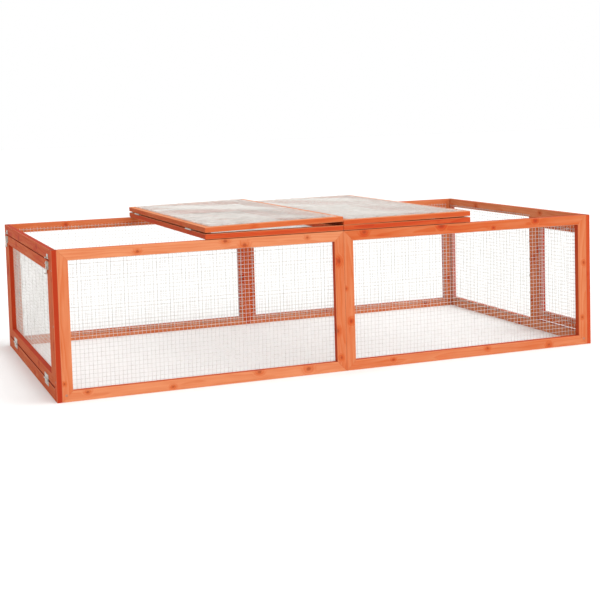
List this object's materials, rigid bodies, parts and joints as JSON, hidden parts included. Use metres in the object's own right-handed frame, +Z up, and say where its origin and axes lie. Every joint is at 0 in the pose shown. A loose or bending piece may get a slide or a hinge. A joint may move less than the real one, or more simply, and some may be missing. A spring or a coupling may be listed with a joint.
{
  "type": "rabbit hutch",
  "caption": "Low open-bottomed run of stained slats and wire mesh, with folding roof lids, a drop door in one end and a side door in the other.",
  "frame": {"origin": "on the ground, at the centre of the footprint", "axes": "+X along the run to the right, +Y from the front wall to the rear wall, +Z up"},
  "size_m": [1.872, 1.0006, 0.4978],
  "materials": {
    "stained_fir": "fir slats with an orange-brown translucent stain",
    "wire_mesh": "galvanised welded wire",
    "fittings": "bright zinc plate",
    "screws": "dull zinc plate"
  },
  "bodies": {
    "run": {"bolt_keepers": "fittings", "fixed_fitting_screws": "screws", "fixed_hinge_leaves": "fittings", "frame_screws": "screws", "front_left_bottom_rail": "stained_fir", "front_left_inner_stile": "stained_fir", "front_left_mesh": "wire_mesh", "front_left_outer_stile": "stained_fir", "front_left_top_rail": "stained_fir", "front_right_bottom_rail": "stained_fir", "front_right_inner_stile": "stained_fir", "front_right_mesh": "wire_mesh", "front_right_outer_stile": "stained_fir", "front_right_top_rail": "stained_fir", "hinge_pins": "fittings", "left_end_bottom_rail": "stained_fir", "left_end_front_post": "stained_fir", "left_end_rear_post": "stained_fir", "left_end_top_rail": "stained_fir", "rear_left_bottom_rail": "stained_fir", "rear_left_inner_stile": "stained_fir", "rear_left_mesh": "wire_mesh", "rear_left_outer_stile": "stained_fir", "rear_left_top_rail": "stained_fir", "rear_right_bottom_rail": "stained_fir", "rear_right_inner_stile": "stained_fir", "rear_right_mesh": "wire_mesh", "rear_right_outer_stile": "stained_fir", "rear_right_top_rail": "stained_fir", "right_end_bottom_rail": "stained_fir", "right_end_front_post": "stained_fir", "right_end_mesh": "wire_mesh", "right_end_mid_post": "stained_fir", "right_end_rear_post": "stained_fir", "right_end_top_rail": "stained_fir", "roof_left_panel_frame": "stained_fir", "roof_left_panel_mesh": "wire_mesh", "roof_right_panel_frame": "stained_fir", "roof_right_panel_mesh": "wire_mesh"},
    "left_lid": {"left_lid_frame": "stained_fir", "left_lid_mesh": "wire_mesh", "left_lid_hinge_leaves": "fittings", "left_lid_screws": "screws"},
    "right_lid": {"right_lid_frame": "stained_fir", "right_lid_mesh": "wire_mesh", "right_lid_hinge_leaves": "fittings", "right_lid_screws": "screws"},
    "left_door": {"left_door_frame": "stained_fir", "left_door_mesh": "wire_mesh", "left_door_hinge_leaves": "fittings", "left_door_bolt_plates": "fittings", "left_door_screws": "screws"},
    "right_door": {"right_door_frame": "stained_fir", "right_door_mesh": "wire_mesh", "right_door_hinge_leaves": "fittings", "right_door_bolt_plate": "fittings", "right_door_screws": "screws"},
    "left_front_bolt": {"left_front_bolt_rod": "fittings"},
    "left_rear_bolt": {"left_rear_bolt_rod": "fittings"},
    "right_bolt": {"right_bolt_rod": "fittings"}
  },
  "joints": [
    {"name": "left_lid_fold", "type": "hinge", "parent": "run", "child": "left_lid", "pos_m": [-0.459, 0, 0.4702], "axis": [0, -1, 0], "range_deg": [0, 179]},
    {"name": "right_lid_fold", "type": "hinge", "parent": "run", "child": "right_lid", "pos_m": [0.459, 0, 0.4702], "axis": [0, 1, 0], "range_deg": [0, 180.45]},
    {"name": "left_door_drop", "type": "hinge", "parent": "run", "child": "left_door", "pos_m": [-0.9272, 0, 0.039], "axis": [0, -1, 0], "range_deg": [0, 92]},
    {"name": "right_door_swing", "type": "hinge", "parent": "run", "child": "right_door", "pos_m": [0.9272, -0.1835, 0.2285], "axis": [0, 0, 1], "range_deg": [0, 150]},
    {"name": "left_front_bolt_slide", "type": "slide", "parent": "left_door", "child": "left_front_bolt", "axis": [0, 0, 1], "range_m": [0, 0.0115]},
    {"name": "left_rear_bolt_slide", "type": "slide", "parent": "left_door", "child": "left_rear_bolt", "axis": [0, 0, 1], "range_m": [0, 0.0115]},
    {"name": "right_bolt_slide", "type": "slide", "parent": "right_door", "child": "right_bolt", "axis": [0, -1, 0], "range_m": [0, 0.0115]}
  ]
}
